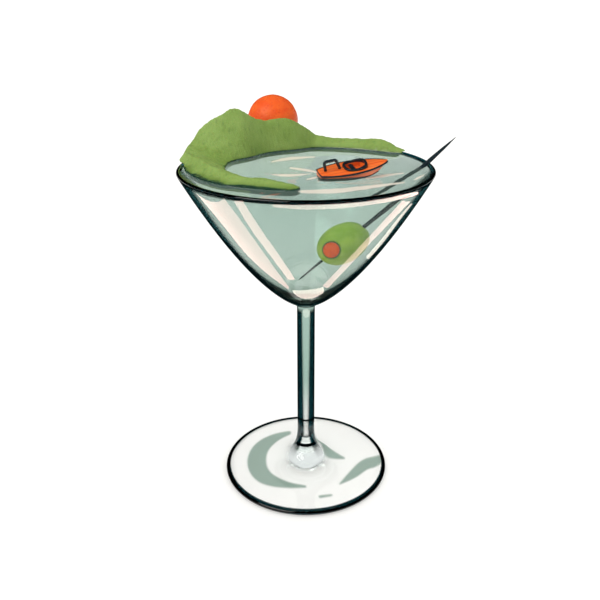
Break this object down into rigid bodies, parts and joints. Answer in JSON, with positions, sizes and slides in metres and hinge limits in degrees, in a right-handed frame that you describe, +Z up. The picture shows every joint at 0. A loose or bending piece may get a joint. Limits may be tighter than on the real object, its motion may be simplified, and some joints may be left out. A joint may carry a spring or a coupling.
{
  "type": "martini cocktail",
  "caption": "Brimful cocktail in a stemmed cone glass, with an olive on a pick and a small edible garnish of green hills, an orange sun and a boat floating on the drink.",
  "frame": {"origin": "the middle of the foot's flat underside, on the glass's axis", "axes": "+Z up along the glass's axis, -Y towards the viewer of the picture, +X to that viewer's right"},
  "size_m": [0.1274, 0.1234, 0.1866],
  "materials": {
    "glass": "clear polished glass with a fire-polished rim",
    "drink": "cloudy pale grey-green drink with a wet surface",
    "green_paste": "soft green sugar paste, matt with a fine grain",
    "orange_paste": "smooth orange sugar paste, satin",
    "boat_paste": "smooth orange sugar paste, lightly glazed",
    "dark_trim": "very dark blue-green paste, satin",
    "pick_wood": "thin wooden pick stained almost black, satin",
    "olive": "wet green olive skin with small pale flecks",
    "pimento": "wet orange-red pepper stuffing"
  },
  "bodies": {
    "root": {"glass": "glass", "drink": "drink", "hills": "green_paste", "sun": "orange_paste", "boat_hull": "boat_paste", "boat_coaming": "dark_trim", "boat_hoop": "dark_trim", "pick": "pick_wood", "olive": "olive", "pimento": "pimento"}
  },
  "joints": []
}
